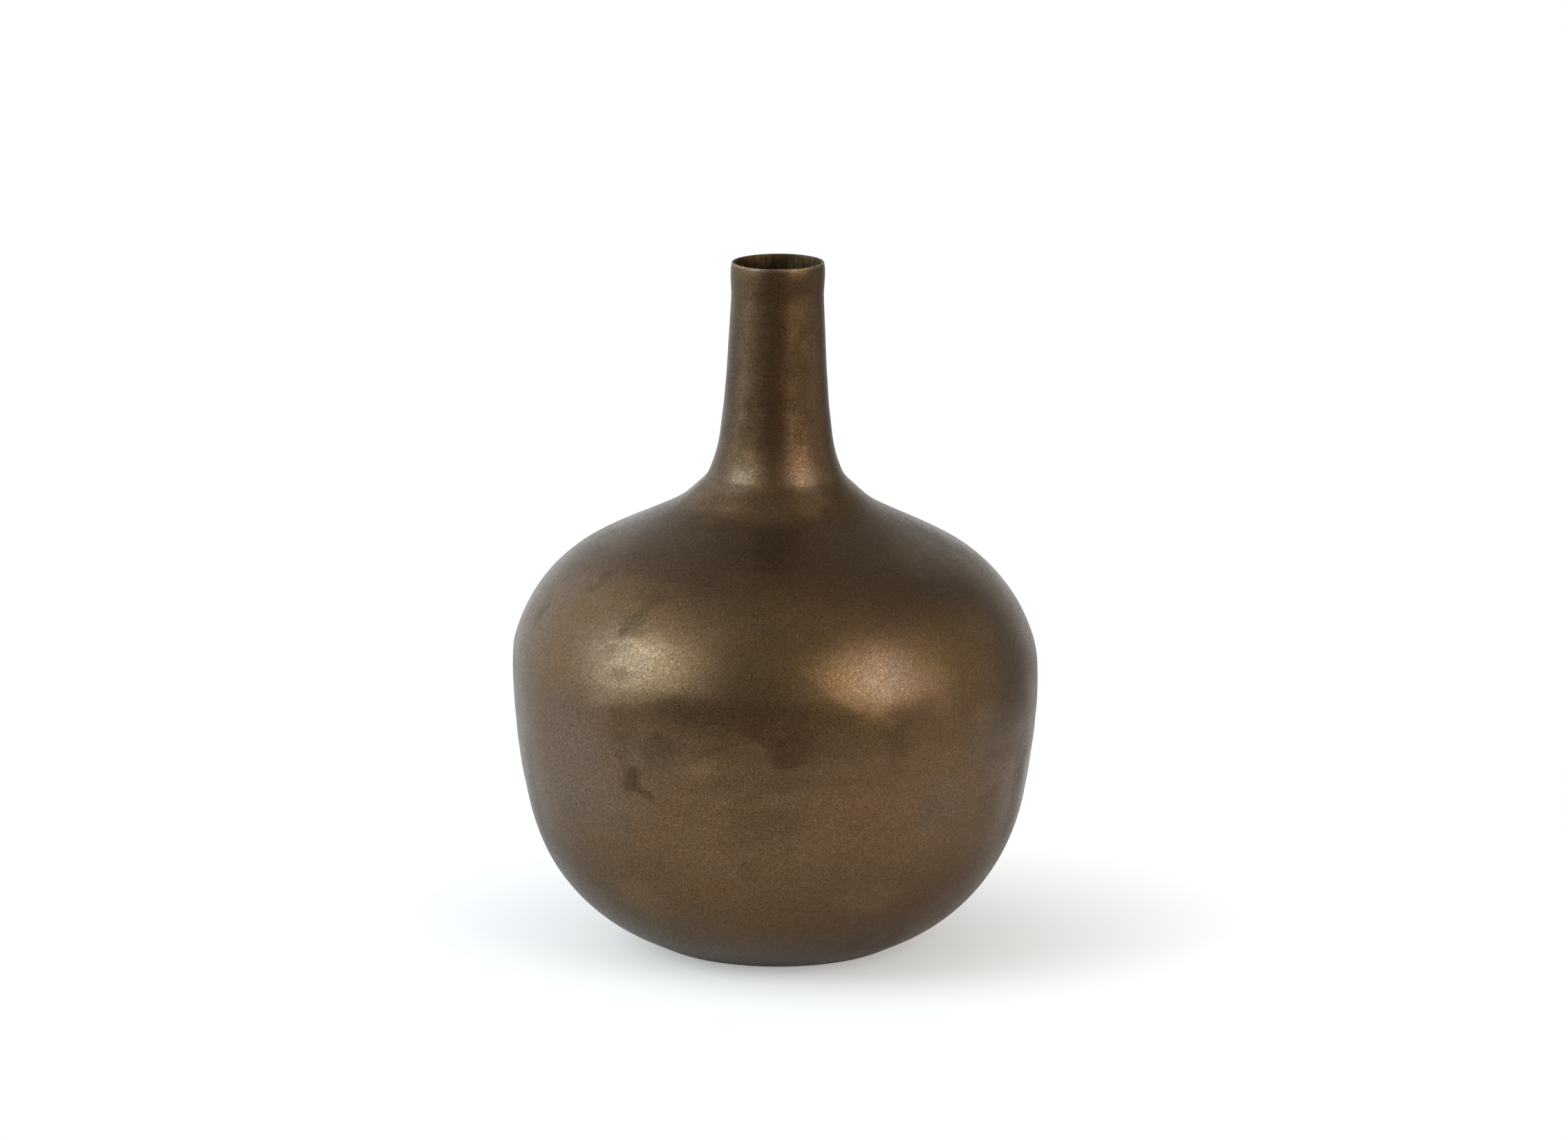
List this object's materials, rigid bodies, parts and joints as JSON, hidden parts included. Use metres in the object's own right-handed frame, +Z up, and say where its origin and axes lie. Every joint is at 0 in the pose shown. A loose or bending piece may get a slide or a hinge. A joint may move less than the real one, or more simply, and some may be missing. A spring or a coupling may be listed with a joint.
{
  "type": "vase",
  "caption": "Round-bellied metal vase with a tall narrow neck, made of two spun sheet halves welded at the girth and a rolled neck welded on top.",
  "frame": {"origin": "under the middle of the foot, on the surface the vase stands on", "axes": "+Z up along the axis of the vase, towards the mouth; +X to the right and -Y towards the camera of the picture"},
  "size_m": [0.24, 0.24, 0.3168],
  "materials": {
    "bronze_coat": "satin antique bronze coat with a fine metallic grain",
    "weld_coat": "dressed weld under the same bronze coat",
    "neck_seam": "dressed lengthwise weld under a thinner bronze coat",
    "felt": "black pressed felt"
  },
  "bodies": {
    "root": {"neck_tube": "bronze_coat", "neck_side_seam": "neck_seam", "neck_weld": "weld_coat", "shoulder_shell": "bronze_coat", "girth_weld": "weld_coat", "bowl_shell": "bronze_coat", "felt_pads": "felt"}
  },
  "joints": []
}
